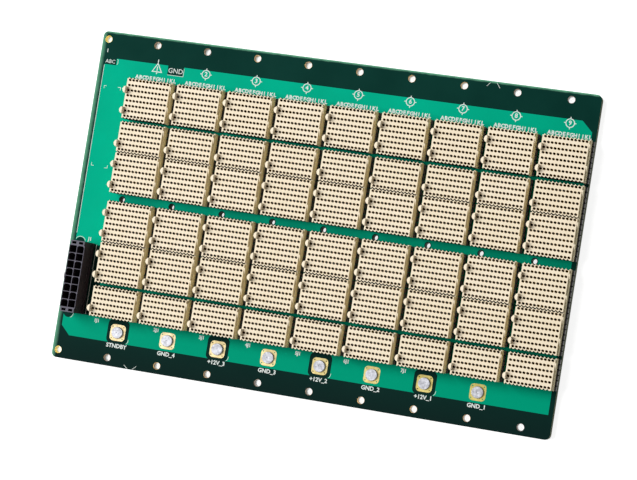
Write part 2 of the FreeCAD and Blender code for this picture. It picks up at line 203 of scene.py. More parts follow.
class Finish:
    """A node material in the making. Its lengths are in metres."""

    def __init__(self, name):
        self.material = bpy.data.materials.new(name)
        self.material.use_nodes = True
        self.tree = self.material.node_tree
        self.shader = self.tree.nodes["Principled BSDF"]
        self.place = self.add("ShaderNodeTexCoord").outputs["Object"]

    def feed(self, socket, value):
        """An input gets its value, or a link from the output that brings it."""
        if isinstance(value, bpy.types.NodeSocket):
            self.tree.links.new(value, socket)
        else:
            socket.default_value = value

    def add(self, kind, *inputs, **settings):
        """A node with its settings, and its first inputs as values or as outputs to link."""
        node = self.tree.nodes.new(kind)
        for key, value in settings.items():
            setattr(node, key, value)
        for socket, value in zip(node.inputs, inputs):
            self.feed(socket, value)
        return node

    def math(self, operation, a, b=0.0, c=0.0):
        """One arithmetic step."""
        return self.add("ShaderNodeMath", a, b, c, operation=operation).outputs[0]

    def along(self, axis):
        """The place along one axis, in the object's own metres."""
        return self.add("ShaderNodeSeparateXYZ", self.place).outputs[axis]

    def facing(self, axis):
        """How far the surface faces along one axis, from -1 to 1."""
        normal = self.add("ShaderNodeNewGeometry").outputs["Normal"]
        return self.add("ShaderNodeSeparateXYZ", normal).outputs[axis]

    def wave(self, axis, length):
        """A sine along one axis, from -1 to 1."""
        return self.math("SINE", self.math("MULTIPLY", self.along(axis), 2 * math.pi / length))

    def noise(self, scale, detail=2.0):
        """Noise from 0 to 1 in the object's own metres."""
        node = self.add("ShaderNodeTexNoise", self.place)
        node.inputs["Scale"].default_value = scale
        node.inputs["Detail"].default_value = detail
        return node.outputs[0]

    def span(self, value, low=0.0, high=1.0, start=0.3, end=0.7):
        """A value brought from start..end to low..high."""
        return self.add("ShaderNodeMapRange", value, start, end, low, high).outputs[0]

    def patches(self, scale):
        """Soft patches, from 0 to 1."""
        return self.span(self.noise(scale, 3.0))

    def mix(self, factor, low, high):
        """A colour between two."""
        node = self.add("ShaderNodeMix", data_type="RGBA")
        for name, kind, value in (("Factor", "VALUE", factor), ("A", "RGBA", low),
                                  ("B", "RGBA", high)):
            self.feed(next(s for s in node.inputs if (s.name, s.type) == (name, kind)), value)
        return next(s for s in node.outputs if s.type == "RGBA")

    def set(self, socket, value):
        """The shader's input, as a value or a link."""
        self.feed(self.shader.inputs[socket], value)

    def bump(self, height, relief):
        """Relief of that many metres."""
        node = self.add("ShaderNodeBump")
        node.inputs["Distance"].default_value = relief
        self.feed(node.inputs["Height"], height)
        self.set("Normal", node.outputs[0])

    def surface(self, patch, gloss, grain, relief, metallic=0.0, specular=0.5):
        """Roughness that wanders between two values, and a fine grain."""
        self.set("Roughness", self.span(self.noise(patch), *gloss))
        self.set("Metallic", metallic)
        self.set("Specular IOR Level", specular)
        self.bump(self.noise(grain), relief)


def plain_finish(name, low, high, patch, gloss, grain, relief, metallic=0.0, specular=0.5):
    """Two close colours in soft patches, with uneven gloss and a fine grain."""
    made = Finish(name)
    made.set("Base Color", made.mix(made.patches(patch), low, high))
    made.surface(patch * 2.3, gloss, grain, relief, metallic, specular)
    return made.material


def solder_mask(name, low, high, gloss):
    """Green lacquer over the laminate's weave, and its colour, which the caller sets."""
    made = Finish(name)
    lacquer = made.mix(made.patches(45.0), low, high)
    made.set("Roughness", made.span(made.noise(160.0), *gloss))
    made.set("Specular IOR Level", 0.006)
    thread = 0.00055
    weave = made.math("MULTIPLY", made.wave("X", thread), made.wave("Y", thread))
    made.bump(made.math("MULTIPLY_ADD", weave, 0.25, made.noise(2600.0)), 0.000006)
    return made, lacquer


def copper_finish():
    """Bright green lacquer over copper, in a deeper tone towards the lower right, painted shade for
    the lamp's light falling off across the board.
    """
    made, lacquer = solder_mask("mask_over_copper", linear(1, 167, 132), linear(0, 177, 141),
                                (0.3, 0.42))
    # Painted shade: the lamp's falloff, darker towards the lower right.
    across = made.math("MULTIPLY_ADD", made.along("Y"), -2.0, made.along("X"))
    deeper = made.span(across, start=-0.07, end=0.045)
    made.set("Base Color", made.mix(deeper, lacquer, linear(0, 154, 119)))
    return made.material


def laminate_finish():
    """Dark green lacquer on both faces, with painted shade deepening it at the board's foot and a
    painted glow of light coming through at its left and upper rim, and bare layered laminate on the
    cut edges."""
    made, lacquer = solder_mask("laminate_finish", linear(9, 49, 42), linear(14, 57, 49),
                                (0.34, 0.46))
    edge = BOARD_LOW.y * MM
    # Painted shade: the lacquer darkens towards the board's foot.
    foot = made.span(made.along("Y"), 1.0, 0.0, edge, edge + 0.03)
    faces = made.mix(foot, lacquer, linear(15, 37, 34))
    uneven = made.math("MULTIPLY", made.noise(420.0, 3.0), 0.0006)

    def fade(depth, strength, start, end):
        """A ragged painted glow of light that dies away with the depth from a rim."""
        return made.span(made.math("ADD", depth, uneven), strength, 0.0, start, end)

    # Painted light: the rims towards the lamp, at the left and top, glow as if lit through.
    from_left = made.math("SUBTRACT", made.along("X"), BOARD_LOW.x * MM)
    from_top = made.math("SUBTRACT", BOARD_HIGH.y * MM, made.along("Y"))
    glow = made.math("MAXIMUM", fade(from_left, 0.75, 0.0002, 0.0021),
                     fade(from_top, 0.85, 0.0003, 0.0012))
    faces = made.mix(glow, faces, linear(122, 196, 158))
    layers = made.wave("Z", 0.0005)
    ragged = made.math("MULTIPLY_ADD", made.noise(900.0, 3.0), 1.6, layers)
    cut = made.mix(made.span(ragged, start=-0.4, end=1.6), linear(58, 74, 44),
                   linear(112, 118, 76))
    upright = made.math("LESS_THAN", made.math("ABSOLUTE", made.facing("Z")), 0.5)
    made.set("Base Color", made.mix(upright, faces, cut))
    return made.material


def ivory_finish():
    """Moulded cream plastic, a shade apart from piece to piece. Where it faces right it has painted
    shade, olive on the walls, and painted light, pale, on the posts, which stand above the front
    face."""
    made = Finish("ivory_moulding")
    warm = made.mix(made.patches(220.0), linear(241, 226, 198), linear(248, 234, 209))
    each = made.add("ShaderNodeObjectInfo").outputs["Random"]
    lands = made.mix(made.span(each, 0.0, 0.35, 0.0, 1.0), warm, linear(239, 223, 191))
    # Painted shade and light on faces that look right: olive below the front face, pale on the
    # posts above it.
    front = HOUSING_HEIGHT * MM
    post = made.span(made.along("Z"), start=front, end=front + 0.0002)
    wall = made.mix(post, linear(235, 221, 175), linear(252, 244, 224))
    rightwards = made.span(made.facing("X"), start=0.2, end=0.7)
    made.set("Base Color", made.mix(rightwards, lands, wall))
    made.surface(700.0, (0.42, 0.58), 5200.0, 0.000008, specular=0.25)
    return made.material


def pad_finish():
    """Gold plating that turns to an olive tone towards the last terminal."""
    made = Finish("pad_gold")
    patches = made.patches(380.0)
    first_gold = made.mix(patches, linear(179, 160, 117), linear(199, 183, 146))
    last_olive = made.mix(patches, linear(152, 140, 72), linear(182, 168, 100))
    towards_last = made.span(made.along("X"), start=-0.05, end=0.06)
    made.set("Base Color", made.mix(towards_last, first_gold, last_olive))
    made.surface(870.0, (0.42, 0.58), 2600.0, 0.000006, metallic=0.6, specular=0.2)
    return made.material


def bore_finish():
    """Plating that is golden by the front face, most of all in the leftmost bores, and painted near
    white towards the rear, a painted glow of the light coming from behind."""
    made = Finish("bore_plating")
    each = made.span(made.noise(45.0, 1.0), start=0.35, end=0.65)
    shine = made.math("MULTIPLY", made.patches(500.0), each)
    gold = made.mix(shine, linear(98, 64, 32), linear(255, 200, 60))
    line = LINE_X * MM
    leftmost = made.span(made.along("X"), 1.0, 0.0, line + 0.002, line + 0.004)
    gold = made.mix(leftmost, gold, linear(255, 226, 70))
    rear = BOARD_REAR * MM
    # Painted light: near white towards the rear, as if lit from behind.
    painted_backlight = made.span(made.along("Z"), 1.0, 0.0, rear + 0.0013, rear + 0.0018)
    made.set("Base Color", made.mix(painted_backlight, gold, linear(244, 254, 255)))
    made.surface(900.0, (0.3, 0.45), 2600.0, 0.000006, metallic=0.3)
    return made.material


def header_finish():
    """Black moulding whose front face is painted a violet grey, a painted sheen of the lamp's light
    on it.
    """
    made = Finish("header_black")
    patches = made.patches(260.0)
    body = made.mix(patches, linear(52, 44, 49), linear(62, 53, 58))
    # Painted sheen: the front face is lighter, standing in for the lamp's light glancing off it.
    painted_sheen = made.mix(patches, linear(84, 82, 93), linear(104, 101, 113))
    top = HEADER_TOP * MM
    front = made.span(made.along("Z"), start=top - 0.00022, end=top - 0.00004)
    made.set("Base Color", made.mix(front, body, painted_sheen))
    made.surface(600.0, (0.38, 0.52), 4200.0, 0.000008, specular=0.15)
    return made.material


MASK_OVER_COPPER = copper_finish()
LAMINATE = laminate_finish()
IVORY = ivory_finish()
# Painted shade, dark inside the contact openings and on the lower ends of the housings.
CAVITY = plain_finish("cavity_shade", linear(8, 5, 2), linear(16, 10, 4), patch=900.0,
                      gloss=(0.6, 0.75), grain=3000.0, relief=0.000006, specular=0.05)
# Painted warm shade on the openings' lead-in bevels.
LEAD_IN = plain_finish("lead_in_shade", linear(160, 112, 12), linear(182, 132, 28), patch=900.0,
                       gloss=(0.5, 0.65), grain=3000.0, relief=0.000006, specular=0.1)
CONTACT_GOLD = plain_finish("contact_gold", linear(80, 55, 20), linear(104, 72, 28),
                            patch=1500.0, gloss=(0.35, 0.5), grain=6000.0, relief=0.000003,
                            metallic=0.5)
WAFER_BLACK = plain_finish("wafer_black", linear(30, 27, 25), linear(46, 43, 40), patch=400.0,
                           gloss=(0.36, 0.5), grain=3800.0, relief=0.00001, specular=0.4)
HEADER_BLACK = header_finish()
TIN = plain_finish("tinned_pin", linear(182, 172, 148), linear(206, 198, 178), patch=700.0,
                   gloss=(0.25, 0.42), grain=5200.0, relief=0.000003, metallic=1.0)
NICKEL = plain_finish("nickel_plate", linear(130, 131, 137), linear(180, 181, 187),
                      patch=1100.0, gloss=(0.42, 0.56), grain=2400.0, relief=0.00001,
                      metallic=0.55, specular=0.2)
PAD_GOLD = pad_finish()
BORE_GOLD = bore_finish()
INK = plain_finish("legend_ink", linear(216, 226, 219), linear(236, 242, 237), patch=900.0,
                   gloss=(0.55, 0.7), grain=5200.0, relief=0.000004, specular=0.2)
# Painted shade for holes that are not cut: dark discs in the vias and the press-fit rings.
VIA_DARK = plain_finish("drilled_dark", linear(52, 34, 16), linear(78, 54, 28), patch=1500.0,
                        gloss=(0.5, 0.7), grain=4000.0, relief=0.000004, specular=0.2)

# A housing's finishes, and their places in its mesh, where the cavity and bevel finishes are
# painted shade. Drilled spots come second in theirs.
HOUSING_FINISHES = [IVORY, CAVITY, CONTACT_GOLD, LEAD_IN]
IN_SHADE, ON_BLADE, ON_BEVEL_SHADE = 1, 2, 3
# The drilled finish is painted shade standing in for holes.
DRILLED = 1


# ------------------------------------------------------------------ outlines

def box_outline(x_low, y_low, x_high, y_high):
    """A rectangle, counterclockwise."""
    return [(x_low, y_low), (x_high, y_low), (x_high, y_high), (x_low, y_high)]


def rounded_box(x_low, y_low, x_high, y_high, radius):
    """A rectangle with round corners, counterclockwise."""
    points = []
    steps = 6
    for turn, (x, y) in enumerate(((x_high - radius, y_low + radius),
                                   (x_high - radius, y_high - radius),
                                   (x_low + radius, y_high - radius),
                                   (x_low + radius, y_low + radius))):
        for k in range(steps + 1):
            angle = math.radians(-90 + 90 * turn + 90 * k / steps)
            points.append((x + radius * math.cos(angle), y + radius * math.sin(angle)))
    return points


def circle(x, y, radius, count=24):
    """A circle, counterclockwise."""
    return [(x + radius * math.cos(2 * math.pi * k / count),
             y + radius * math.sin(2 * math.pi * k / count)) for k in range(count)]


def inset(points, distance):
    """A counterclockwise outline moved inwards by a distance, held back at sharp corners."""
    moved = []
    count = len(points)
    for k in range(count):
        here = Vector(points[k])
        before = (here - Vector(points[k - 1])).normalized()
        after = (Vector(points[(k + 1) % count]) - here).normalized()
        side_a = Vector((-before.y, before.x))
        side_b = Vector((-after.y, after.x))
        middle = side_a + side_b
        middle = middle / max(middle.dot(side_a), 0.35)
        moved.append(tuple(here + middle * distance))
    return moved


# ------------------------------------------------------------------ mesh helpers

def ring(bm, points, z):
    """Corners of a closed outline at one height."""
    return [bm.verts.new((x, y, z)) for x, y in points]


def band(bm, low, high, material=0):
    """Side faces between two rings of equal count, both counterclockwise from above."""
    count = len(low)
    faces = [bm.faces.new((low[k], low[(k + 1) % count], high[(k + 1) % count], high[k]))
             for k in range(count)]
    for face in faces:
        face.material_index = material
    return faces


def cap(bm, corners, upwards=True, material=0):
    """One flat face across a ring."""
    face = bm.faces.new(corners if upwards else list(reversed(corners)))
    face.material_index = material


def loft(bm, sections, material=0):
    """A closed solid through (outline, z) sections from the lowest to the highest. Returns its
    rings and, for each two neighbours, the faces between them."""
    rings = [ring(bm, outline, z) for outline, z in sections]
    sides = [band(bm, low, high, material) for low, high in zip(rings, rings[1:])]
    cap(bm, rings[0], False, material)
    cap(bm, rings[-1], True, material)
    return rings, sides


def plate_with_holes(bm, outer, holes, upwards=True):
    """A flat face inside the outer ring and outside the holes' rings."""
    before = set(bm.faces)
    edges = []
    for loop in [outer] + holes:
        for k in range(len(loop)):
            pair = (loop[k], loop[(k + 1) % len(loop)])
            edges.append(bm.edges.get(pair) or bm.edges.new(pair))
    bmesh.ops.triangle_fill(bm, use_beauty=True, use_dissolve=False, edges=edges,
                            normal=(0, 0, 1 if upwards else -1))
    for face in bm.faces:
        if face in before:
            continue
        face.normal_update()
        if (face.normal.z > 0) != upwards:
            face.normal_flip()


def thin_sheet(bm, outline, holes, z_low, z_high):
    """A flat layer with openings through it, as a closed solid."""
    tops = [ring(bm, loop, z_high) for loop in [outline] + holes]
    feet = [ring(bm, loop, z_low) for loop in [outline] + holes]
    plate_with_holes(bm, tops[0], tops[1:])
    plate_with_holes(bm, feet[0], feet[1:], upwards=False)
    band(bm, feet[0], tops[0])
    for foot, top in zip(feet[1:], tops[1:]):
        band(bm, list(reversed(foot)), list(reversed(top)))


def turned(bm, x, y, foot, profile):
    """A turned piece about (x, y), from its half section as (radius, height) from the front."""
    steps = 40
    rings = []
    for radius, height in profile:
        outline = circle(x, y, radius, steps) if radius else [(x, y)]
        rings.append(ring(bm, outline, foot + height))
    for upper, lower in zip(rings, rings[1:]):
        for k in range(steps):
            after = (k + 1) % steps
            if len(upper) == 1:
                corners = (upper[0], lower[k], lower[after])
            elif len(lower) == 1:
                corners = (upper[after], upper[k], lower[0])
            else:
                corners = (upper[k], lower[k], lower[after], upper[after])
            bm.faces.new(corners).smooth = True


def as_mesh(bm, name, materials):
    """The finished mesh in metres."""
    bmesh.ops.scale(bm, vec=(MM, MM, MM), verts=bm.verts)
    return metric_mesh(bm, name, materials)


def metric_mesh(bm, name, materials):
    """The finished mesh, where it is in metres already."""
    mesh = bpy.data.meshes.new(name)
    bm.to_mesh(mesh)
    bm.free()
    for material in materials:
        mesh.materials.append(material)
    return mesh


def cad_copy(node):
    """A copy of a CAD node's mesh in metres, its faces joined at their corners."""
    bm = bmesh.new()
    bm.from_mesh(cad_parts[node].data)
    bmesh.ops.remove_doubles(bm, verts=bm.verts, dist=1e-6)
    return bm


def add_piece(name, mesh, place=(0, 0, 0), stands_for=()):
    """A named piece of the board, hung on the root body, that hides the CAD nodes it stands for."""
    piece = bpy.data.objects.new(name, mesh)
    piece.location = Vector(place) * MM
    bpy.context.scene.collection.objects.link(piece)
    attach(piece, "root")
    if stands_for:
        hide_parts(*stands_for)
    return piece


def dress(node, material):
    """A CAD node that keeps its shape takes its finish."""
    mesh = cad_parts[node].data
    mesh.materials.clear()
    mesh.materials.append(material)


# ------------------------------------------------------------------ bare board

def add_board():
    """The drilled laminate as made in CAD, its rear lacquer a hair inside the rear pads."""
    bm = cad_copy("backplane_board")
    for vert in bm.verts:
        if vert.co.z < (BOARD_REAR + HAIR) * MM:
            vert.co.z = (BOARD_REAR + PAD_LIFT) * MM
    bmesh.ops.recalc_face_normals(bm, faces=bm.faces)
    add_piece("laminate_board", metric_mesh(bm, "laminate_board", [LAMINATE]),
              stands_for=("backplane_board",))


def add_press_fits():
    """Plated holes of the press-fit contacts, seen on the rear as small rings."""
    ring_radius, hole_radius, sides = 0.45, 0.25, 8
    bm = bmesh.new()
    for module, rows in MODULES.items():
        middle_y = housing_middle(1, module)[1]
        for row in range(rows):
            y = middle_y + row_y(rows, row)
            for column in range(CONTACTS):
                land = circle(column_x(column), y, ring_radius, sides)
                hole = circle(column_x(column), y, hole_radius, sides)
                loft(bm, [(land, BOARD_REAR + HAIR), (land, BOARD_REAR + PAD_LIFT)])
                # A dark disc in each ring is painted shade for the hole.
                loft(bm, [(hole, BOARD_REAR), (hole, BOARD_REAR + PAD_LIFT)], DRILLED)
    shared = as_mesh(bm, "press_fit_rings", [TIN, VIA_DARK])
    for slot in range(1, SLOTS + 1):
        add_piece("slot%d_press_fit_rings" % slot, shared,
                  (housing_middle(slot, "p6")[0], 0, 0))


# ------------------------------------------------------------------ receptacles

def end_wave():
    """The toothed end line of a module: (x, offset) from the left wall to the right one."""
    tooth = ((-0.46, 0.29), (-0.14, 0.0), (0.14, -0.21), (0.42, -0.28), (0.68, -0.16))
    land = -0.19
    points = [(LEFT_WALL, land), (-GRID_HALF - 0.74, land)]
    for k in range(CONTACTS):
        points += [(column_x(k) + shift, offset) for shift, offset in tooth]
    # The last tooth has no neighbour and runs out into the wall.
    points[-1] = (GRID_HALF + 0.68, -0.2)
    return points + [(RIGHT_WALL, land)]


def add_walls(bm, rows):
    """A housing's walls, toothed and with painted shade at both ends. Returns the ring of its
    front.
    """
    half = rows * WAFER_PITCH / 2 - END_CLEARANCE
    wave = end_wave()
    outline = [(x, -half + offset) for x, offset in wave]
    outline += [(x, half + offset) for x, offset in reversed(wave)]
    foot = ring(bm, outline, 0.0)
    belt = ring(bm, outline, HOUSING_HEIGHT - BELT_DEPTH)
    brow = ring(bm, outline, HOUSING_HEIGHT - BROW_DEPTH)
    top = ring(bm, inset(outline, BROW_INSET), HOUSING_HEIGHT)
    # Below the belt the two ends get painted shade, dark like the shaded seams between housings.
    for face in band(bm, foot, belt):
        if LEFT_WALL + 0.05 < face.calc_center_median().x < RIGHT_WALL - 0.05:
            face.material_index = IN_SHADE
    band(bm, belt, brow)
    band(bm, brow, top)
    plate_with_holes(bm, foot, [], upwards=False)
    return top


def contact_opening(x, y, half_length, half_width):
    """A slanted opening for one contact, between an ellipse and a rectangle."""
    def squared(share):
        """A sine or cosine, drawn out towards the corners of a rectangle."""
        return math.copysign(abs(share) ** 0.75, share)

    points = []
    for k in range(8):
        angle = math.radians(45 * k + 22.5)
        a = half_length * squared(math.cos(angle))
        b = half_width * squared(math.sin(angle))
        points.append((x + a * math.cos(OPENING_TILT) - b * math.sin(OPENING_TILT),
                       y + a * math.sin(OPENING_TILT) + b * math.cos(OPENING_TILT)))
    return points


def add_openings(bm, rows):
    """Openings with their lead-in bevels, and a contact's blade in each. Returns the rings of
    their mouths."""
    mouths = []
    for row in range(rows):
        y = row_y(rows, row)
        for column in range(CONTACTS):
            x = column_x(column)
            narrow = contact_opening(x, y, *THROAT)
            mouth = ring(bm, contact_opening(x, y, *MOUTH), HOUSING_HEIGHT)
            throat = ring(bm, narrow, HOUSING_HEIGHT - THROAT_DEPTH)
            floor = ring(bm, narrow, HOUSING_HEIGHT - OPENING_DEPTH)
            # The bevel takes a painted warm shade.
            band(bm, throat, mouth, ON_BEVEL_SHADE)
            # The throat and floor of each opening take painted shade.
            band(bm, floor, throat, IN_SHADE)
            cap(bm, floor, True, IN_SHADE)
            mouths.append(mouth)
            blade = box_outline(x + BLADE_LOW[0], y + BLADE_LOW[1],
                                x + BLADE_HIGH[0], y + BLADE_HIGH[1])
            loft(bm, [(blade, HOUSING_HEIGHT - depth) for depth in BLADE_DEPTHS], ON_BLADE)
    return mouths


def add_skirt(bm, rows):
    """The step along the right wall, bevelled at its upper edge."""
    bevel = 0.12
    inner = RIGHT_WALL - 0.3
    reach = rows * WAFER_PITCH / 2 - SEAM_CLEARANCE
    body = box_outline(inner, -reach, SKIRT, reach)
    loft(bm, [(body, 0.0), (body, SKIRT_HEIGHT - bevel),
              (box_outline(inner, -reach, SKIRT - bevel, reach), SKIRT_HEIGHT)])


def add_ramp(bm, middle):
    """A lead-in wedge on the skirt, highest at its upper end."""
    low, high = middle - RAMP_HALF, middle + RAMP_HALF
    foot = SKIRT_HEIGHT - 0.3
    profile = [(low, foot), (high, foot), (high, HOUSING_HEIGHT - 0.12),
               (high - 0.18, HOUSING_HEIGHT), (high - 0.75, HOUSING_HEIGHT - 0.06),
               (low, SKIRT_HEIGHT + 0.35)]
    inner = [bm.verts.new((RIGHT_WALL - 0.6, y, z)) for y, z in profile]
    outer = [bm.verts.new((SKIRT, y, z)) for y, z in profile]
    band(bm, inner, outer)
    cap(bm, outer)
    cap(bm, inner, False)


def post_section(y, shrink=0.0, slope=0.0):
    """D-shaped section of a guide post, drawn in all round and cut back by the slope."""
    steps = 12
    centre = POST_OUTER + POST_RADIUS
    radius = POST_RADIUS - shrink
    flat = POST_FLAT - shrink - slope
    reach = math.acos((flat - centre) / radius)
    points = []
    for k in range(steps + 1):
        angle = reach + (2 * math.pi - 2 * reach) * k / steps
        points.append((centre + radius * math.cos(angle), y + radius * math.sin(angle)))
    return points


def add_post(bm, y):
    """A guide post with a rounded tip that falls away to the left."""
    tip = HOUSING_HEIGHT + POST_RISE
    rings, sides = loft(bm, [(post_section(y), 0.0), (post_section(y), HOUSING_HEIGHT),
                             (post_section(y, 0.0, 0.05), tip - 0.16),
                             (post_section(y, 0.04, 0.07), tip - 0.05),
                             (post_section(y, 0.14, 0.05), tip)])
    for vert in rings[-1] + rings[-2] + rings[-3]:
        vert.co.z -= POST_FALL * (LEFT_WALL + 0.05 - vert.co.x)
    for faces in sides:
        for face in faces[:-1]:  # the last one is the flat side
            face.smooth = True


def receptacle_mesh(name, rows):
    """One moulded housing about the middle of its contact grid, standing on its wafers."""
    bm = bmesh.new()
    front = add_walls(bm, rows)
    plate_with_holes(bm, front, add_openings(bm, rows))
    add_skirt(bm, rows)
    for row in RAMP_ROWS[rows]:
        add_ramp(bm, row_y(rows, row - 1))
    for row in POST_ROWS[rows]:
        add_post(bm, row_y(rows, row - 1))
    return as_mesh(bm, name, HOUSING_FINISHES)


def add_receptacles():
    """Fifty-four housings from two meshes."""
    meshes = {rows: receptacle_mesh("receptacle_%d_rows" % rows, rows) for rows in (6, 8)}
    for slot in range(1, SLOTS + 1):
        for module, rows in MODULES.items():
            node = housing_node(slot, module)
            add_piece("moulded_" + node, meshes[rows],
                      housing_middle(slot, module), (node,))


def add_wafers():
    """Black wafers, one for each row of contacts, under every housing."""
    body_half, edge_half = 0.84, 0.72
    bm = bmesh.new()
    low, high = corners_mm("contact_wafers")
    for slot in range(1, SLOTS + 1):
        for module, rows in MODULES.items():
            middle_x, middle_y, _ = housing_middle(slot, module)
            left = middle_x + LEFT_WALL + 0.35
            right = middle_x + SKIRT + WAFER_LEDGE
            for row in range(rows):
                y = middle_y + row_y(rows, row)
                foot = box_outline(left + 0.2, y - edge_half, right - 0.3, y + edge_half)
                body = box_outline(left, y - body_half, right, y + body_half)
                head = box_outline(left, y - edge_half, right - 0.12, y + edge_half)
                loft(bm, [(foot, low.z), (foot, low.z + 0.5), (body, low.z + 0.62),
                          (body, high.z - 0.14), (head, high.z)])
    add_piece("wafer_stacks", as_mesh(bm, "wafer_stacks", [WAFER_BLACK]),
              stands_for=("contact_wafers",))


# ------------------------------------------------------------------ power header

def pin_places():
    """Middles of the header's pins, each column from its lowest pin."""
    low, high = corners_mm("power_header_pins")
    return [(x, low.y + PIN_HALF + PIN_PITCH * k)
            for x in (low.x + PIN_HALF, high.x - PIN_HALF) for k in range(PIN_ROWS)]


def draft_cells(bm):
    """Opens each cell a little towards the front, as the moulding tool's draft does."""
    wall_draft, key_draft = 0.13, 0.25
    places = pin_places()
    for vert in bm.verts:
        if vert.co.z < (HEADER_TOP - HAIR) * MM:
            continue
        for x, y in places:
            off_x = vert.co.x / MM - x
            off_y = vert.co.y / MM - y
            if abs(max(abs(off_x), abs(off_y)) - CELL_HALF) > HAIR:
                continue
            draft_x, draft_y = (wall_draft if abs(off) > CELL_HALF - 0.05 else key_draft
                                for off in (off_x, off_y))
            vert.co.x += math.copysign(draft_x, off_x) * MM
            vert.co.y += math.copysign(draft_y, off_y) * MM


def add_header():
    """The shroud as made in CAD, with drafted cells and softened edges."""
    bm = cad_copy("power_header_housing")
    bmesh.ops.dissolve_limit(bm, angle_limit=math.radians(2), verts=bm.verts, edges=bm.edges)
    draft_cells(bm)
    piece = add_piece("header_shroud", metric_mesh(bm, "header_shroud", [HEADER_BLACK]),
                      stands_for=("power_header_housing",))
    edges = piece.modifiers.new("edges", "BEVEL")
    edges.width = 0.05 * MM
    edges.segments = 1
    edges.limit_method = "ANGLE"
    edges.angle_limit = math.radians(40)


def add_solder_joints():
    """Solder on the rear round each tail of the header, wider towards the board."""
    bm = bmesh.new()
    for x, y in pin_places():
        loft(bm, [(circle(x, y, radius, 16), BOARD_REAR + height)
                  for radius, height in ((0.72, 0.0), (0.92, 0.02), (0.95, PAD_LIFT))])
    add_piece("header_solder_joints", as_mesh(bm, "header_solder_joints", [TIN]))


# ------------------------------------------------------------------ power terminals

def terminal_profile(height):
    """Half section of a bush as (radius, height), from its front to the end of its thread."""
    profile = [(0.0, height - 0.05), (0.2, height - 0.035), (0.34, height), (2.08, height),
               (2.18, height - 0.03), (2.24, height - 0.1), (2.25, height - 0.2), (2.25, 0.12),
               (2.13, 0.0), (1.5, 0.0)]
    crest, root, pitch = 1.25, 1.38, 0.45
    z = 0.2
    while z < 3.5:
        profile += [(crest, z), (crest, z + 0.06), (root, z + 0.22), (root, z + 0.26)]
        z += pitch
    return profile + [(crest, 3.6), (crest, 3.75), (0.0, 3.8)]


def add_terminals():
    """Flat round bushes with a small centre dimple, threaded from the rear."""
    bm = bmesh.new()
    low, high = corners_mm("power_terminals")
    profile = terminal_profile(high.z - low.z)
    for k in range(TERMINALS):
        turned(bm, TERMINAL_X + k * SLOT_PITCH, TERMINAL_Y, low.z, profile)
    piece = add_piece("terminal_bushes", as_mesh(bm, "terminal_bushes", [NICKEL]),
                      stands_for=("power_terminals",))
    piece.data.set_sharp_from_angle(angle=math.radians(12))


# ------------------------------------------------------------------ copper and pads

def is_supply(number):
    """Every second terminal, from the first, carries a supply instead of ground."""
    return number % 2 == 0


def supply_bay(x, y, floor):
    """A round-cornered clearance about (x, y), open where it runs over the edge at floor."""
    half_x, half_y, radius = 4.35, 4.55, 1.8
    middle_x, middle_y = x + 0.1, y + 0.35
    outline = rounded_box(middle_x - half_x, middle_y - half_y, middle_x + half_x,
                          middle_y + half_y, radius)
    lowest = min(range(len(outline)), key=lambda k: (outline[k][1], outline[k][0]))
    walk = [outline[(lowest - k) % len(outline)] for k in range(len(outline))]
    above = [point for point in walk if point[1] > floor + 0.02]
    left, right = above[0][0], above[-1][0]
    return [(left + 0.3, floor)] + above + [(right - 0.3, floor)]


def pour_outline():
    """Edge of the front copper area, with bays round the supply pads and the header."""
    low = from_corner_bore(-0.15, 6.1)
    high = from_corner_bore(192.3, 115.3)
    box_left = from_corner_bore(25.9, 111.8)
    box_right = from_corner_bore(32.2, 111.8)
    notch = from_corner_bore(4.6, 112.7)
    # The header's bay reaches to the first housings: partly a keep-out round the header, and partly
    # painted shade for the header's shadow.
    bay_top = from_corner_bore(12.7, 42.3)
    bay_foot = from_corner_bore(12.7, 15.0)
    points = [(low.x, low.y + 3.6), (low.x + 3.6, low.y)]
    for k in range(TERMINALS):
        if is_supply(k):
            points += supply_bay(TERMINAL_X + k * SLOT_PITCH, TERMINAL_Y, low.y)
    points += [(high.x, low.y), (high.x, high.y - 3.9), (high.x - 4.1, high.y)]
    points += [(box_right.x + 0.1, high.y), (box_right.x, box_right.y),
               (box_left.x, box_left.y), (box_left.x - 0.1, high.y)]
    points += [(notch.x, high.y), (notch.x, notch.y), (low.x, notch.y)]
    points += [(low.x, bay_top.y), (bay_top.x, bay_top.y), (bay_foot.x, bay_foot.y),
               (low.x, bay_foot.y)]
    return points


def add_pour():
    """The copper area under the lacquer, a hair above the bare laminate."""
    bare_ring = 0.35
    bm = bmesh.new()
    holes = [circle(CENTRE_BORE_X + k * SLOT_PITCH, 0, CENTRE_BORE / 2 + bare_ring)
             for k in range(SLOTS)]
    thin_sheet(bm, pour_outline(), holes, BOARD_FRONT, BOARD_FRONT + POUR_LIFT)
    add_piece("front_copper_area", as_mesh(bm, "front_copper_area", [MASK_OVER_COPPER]))


def add_pads():
    """Gold pads round the terminals, drilled at their corners."""
    left, right, half_y, corner = 3.0, 3.1, 3.15, 1.45
    via_offset, via_radius, via_floor = 2.25, 0.26, 0.004
    top = BOARD_FRONT + POUR_LIFT + 0.02
    bm = bmesh.new()
    y = TERMINAL_Y
    for k in range(TERMINALS):
        x = TERMINAL_X + k * SLOT_PITCH
        vias = [circle(x + side_x * via_offset, y + side_y * via_offset, via_radius, 10)
                for side_x in (-1, 1) for side_y in (-1, 1)]
        thin_sheet(bm, rounded_box(x - left, y - half_y, x + right, y + half_y, corner), vias,
                   BOARD_FRONT, top)
        for via in vias:
            # A dark disc just above the laminate is painted shade in each via's hole.
            cap(bm, ring(bm, via, BOARD_FRONT + via_floor), True, DRILLED)
    add_piece("terminal_pads", as_mesh(bm, "terminal_pads", [PAD_GOLD, VIA_DARK]))


